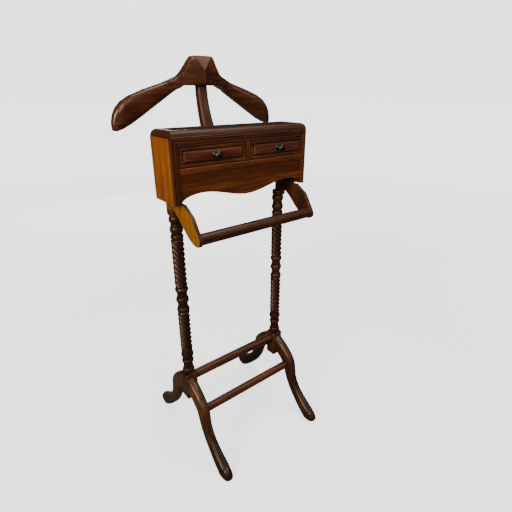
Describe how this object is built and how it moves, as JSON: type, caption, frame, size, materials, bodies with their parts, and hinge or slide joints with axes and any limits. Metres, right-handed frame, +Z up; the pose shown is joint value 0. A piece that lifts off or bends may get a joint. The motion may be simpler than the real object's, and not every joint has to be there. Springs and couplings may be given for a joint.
{
  "type": "valet stand",
  "caption": "Free-standing valet stand: coat hanger on a curved neck, lined tray and drawers in a shallow cabinet, trouser bar, twist-turned posts, curved legs and shoe rails.",
  "frame": {"origin": "on the floor, at the middle of the box round the four feet", "axes": "+Z up, +X to the viewer's right when facing the drawers, -Y out of the front where the drawers open"},
  "size_m": [0.492, 0.4326, 1.116],
  "materials": {
    "mahogany": "glossy dark red-brown stain and lacquer",
    "amber_panel": "glossy amber-brown veneer",
    "drawer_wood": "plain light inner wood",
    "felt": "black felt lining",
    "knob_metal": "dark bronzed metal, polished",
    "steel": "plain screw steel"
  },
  "bodies": {
    "frame": {"left_post": "mahogany", "left_front_leg": "mahogany", "left_front_leg_dowel": "drawer_wood", "left_rear_leg": "mahogany", "left_rear_leg_dowel": "drawer_wood", "left_bracket": "mahogany", "right_post": "mahogany", "right_front_leg": "mahogany", "right_front_leg_dowel": "drawer_wood", "right_rear_leg": "mahogany", "right_rear_leg_dowel": "drawer_wood", "right_bracket": "mahogany", "left_side_panel": "amber_panel", "left_stile": "mahogany", "rim_left": "mahogany", "left_hanger_wing": "mahogany", "right_side_panel": "amber_panel", "right_stile": "mahogany", "rim_right": "mahogany", "right_hanger_wing": "mahogany", "rear_shoe_rail": "mahogany", "front_shoe_rail": "mahogany", "trouser_bar": "mahogany", "back_panel": "mahogany", "tray_floor": "mahogany", "tray_front_rail": "mahogany", "drawer_floor": "mahogany", "drawer_divider": "mahogany", "top_rail": "mahogany", "lower_rail": "mahogany", "apron": "mahogany", "rim_front": "mahogany", "rim_back": "mahogany", "tray_lining": "felt", "neck": "mahogany", "neck_screw_lower": "steel", "neck_screw_upper": "steel", "left_bracket_screw_rear": "steel", "left_bracket_screw_front": "steel", "right_bracket_screw_rear": "steel", "right_bracket_screw_front": "steel", "left_post_screw": "steel", "right_post_screw": "steel"},
    "left_drawer": {"left_drawer_front": "mahogany", "left_drawer_outer_side": "drawer_wood", "left_drawer_inner_side": "drawer_wood", "left_drawer_back": "drawer_wood", "left_drawer_bottom": "drawer_wood", "left_knob": "knob_metal", "left_knob_screw": "steel"},
    "right_drawer": {"right_drawer_front": "mahogany", "right_drawer_outer_side": "drawer_wood", "right_drawer_inner_side": "drawer_wood", "right_drawer_back": "drawer_wood", "right_drawer_bottom": "drawer_wood", "right_knob": "knob_metal", "right_knob_screw": "steel"}
  },
  "joints": [
    {"name": "left_drawer_slide", "type": "slide", "parent": "frame", "child": "left_drawer", "axis": [0, -1, 0], "range_m": [0, 0.05]},
    {"name": "right_drawer_slide", "type": "slide", "parent": "frame", "child": "right_drawer", "axis": [0, -1, 0], "range_m": [0, 0.05]}
  ]
}
